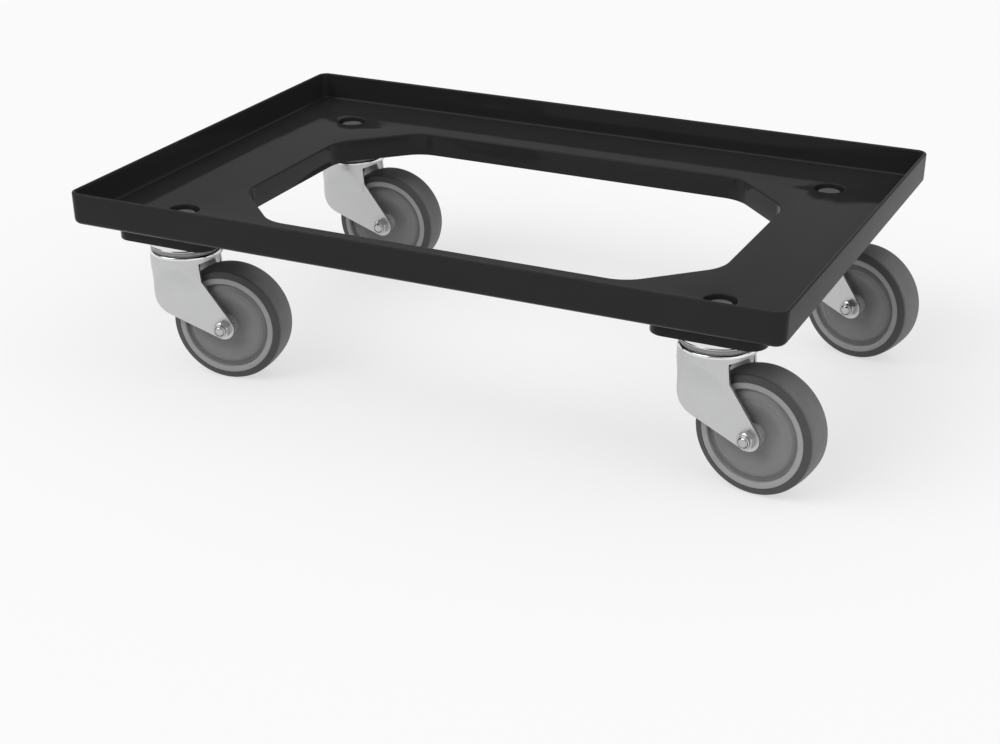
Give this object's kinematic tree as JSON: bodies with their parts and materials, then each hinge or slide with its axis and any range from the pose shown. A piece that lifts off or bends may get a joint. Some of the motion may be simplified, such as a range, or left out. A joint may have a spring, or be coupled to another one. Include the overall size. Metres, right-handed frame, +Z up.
{
  "type": "crate dolly",
  "caption": "Rectangular crate dolly: moulded tray with raised rim and octagonal opening, on swivel casters with grey wheels.",
  "frame": {"origin": "middle of the tray at the level of the deck's top face, on which the crate rests", "axes": "+X along the tray's long side, +Y across it away from the viewer of the picture, +Z up"},
  "size_m": [0.6401, 0.42, 0.171],
  "materials": {
    "tray": "black moulded plastic, satin, faint moulding texture",
    "dark_zinc": "dull zinc plated steel",
    "zinc": "blue zinc plated pressed steel, satin",
    "bright_zinc": "bright zinc plated steel, close to mirror",
    "seal": "grey plastic dust ring",
    "hub": "mid grey moulded plastic",
    "cover": "grey moulded plastic, slightly darker than the hub",
    "tyre": "dark grey non-marking rubber, matt"
  },
  "bodies": {
    "tray": {"tray_frame": "tray", "mounting_bolts": "dark_zinc", "mounting_washers": "zinc", "mounting_nuts": "zinc", "front_left_race_cup": "bright_zinc", "front_left_kingpin": "zinc", "front_left_lower_race": "zinc", "front_right_race_cup": "bright_zinc", "front_right_kingpin": "zinc", "front_right_lower_race": "zinc", "back_left_race_cup": "bright_zinc", "back_left_kingpin": "zinc", "back_left_lower_race": "zinc", "back_right_race_cup": "bright_zinc", "back_right_kingpin": "zinc", "back_right_lower_race": "zinc"},
    "front_left_swivel": {"front_left_balls": "bright_zinc", "front_left_dust_ring": "seal", "front_left_fork": "zinc", "front_left_axle_bolt": "zinc", "front_left_axle_nut": "zinc", "front_left_axle_sleeve": "zinc", "front_left_spacer_washers": "zinc"},
    "front_left_wheel": {"front_left_hub": "hub", "front_left_hub_covers": "cover", "front_left_tyre": "tyre"},
    "front_right_swivel": {"front_right_balls": "bright_zinc", "front_right_dust_ring": "seal", "front_right_fork": "zinc", "front_right_axle_bolt": "zinc", "front_right_axle_nut": "zinc", "front_right_axle_sleeve": "zinc", "front_right_spacer_washers": "zinc"},
    "front_right_wheel": {"front_right_hub": "hub", "front_right_hub_covers": "cover", "front_right_tyre": "tyre"},
    "back_left_swivel": {"back_left_balls": "bright_zinc", "back_left_dust_ring": "seal", "back_left_fork": "zinc", "back_left_axle_bolt": "zinc", "back_left_axle_nut": "zinc", "back_left_axle_sleeve": "zinc", "back_left_spacer_washers": "zinc"},
    "back_left_wheel": {"back_left_hub": "hub", "back_left_hub_covers": "cover", "back_left_tyre": "tyre"},
    "back_right_swivel": {"back_right_balls": "bright_zinc", "back_right_dust_ring": "seal", "back_right_fork": "zinc", "back_right_axle_bolt": "zinc", "back_right_axle_nut": "zinc", "back_right_axle_sleeve": "zinc", "back_right_spacer_washers": "zinc"},
    "back_right_wheel": {"back_right_hub": "hub", "back_right_hub_covers": "cover", "back_right_tyre": "tyre"}
  },
  "joints": [
    {"name": "front_left_swivel_turn", "type": "hinge", "parent": "tray", "child": "front_left_swivel", "pos_m": [-0.24, -0.145, -0.03], "axis": [0, 0, 1], "continuous": true},
    {"name": "front_left_wheel_roll", "type": "hinge", "parent": "front_left_swivel", "child": "front_left_wheel", "pos_m": [-0.20049, -0.13874, -0.09601], "axis": [-0.1564, 0.9877, 0], "continuous": true},
    {"name": "front_right_swivel_turn", "type": "hinge", "parent": "tray", "child": "front_right_swivel", "pos_m": [0.24, -0.145, -0.03], "axis": [0, 0, 1], "continuous": true},
    {"name": "front_right_wheel_roll", "type": "hinge", "parent": "front_right_swivel", "child": "front_right_wheel", "pos_m": [0.27951, -0.15126, -0.09601], "axis": [0.1564, 0.9877, 0], "continuous": true},
    {"name": "back_left_swivel_turn", "type": "hinge", "parent": "tray", "child": "back_left_swivel", "pos_m": [-0.24, 0.145, -0.03], "axis": [0, 0, 1], "continuous": true},
    {"name": "back_left_wheel_roll", "type": "hinge", "parent": "back_left_swivel", "child": "back_left_wheel", "pos_m": [-0.20005, 0.14709, -0.09601], "axis": [-0.0523, 0.9986, 0], "continuous": true},
    {"name": "back_right_swivel_turn", "type": "hinge", "parent": "tray", "child": "back_right_swivel", "pos_m": [0.24, 0.145, -0.03], "axis": [0, 0, 1], "continuous": true},
    {"name": "back_right_wheel_roll", "type": "hinge", "parent": "back_right_swivel", "child": "back_right_wheel", "pos_m": [0.27897, 0.136, -0.09601], "axis": [0.225, 0.9744, 0], "continuous": true}
  ]
}
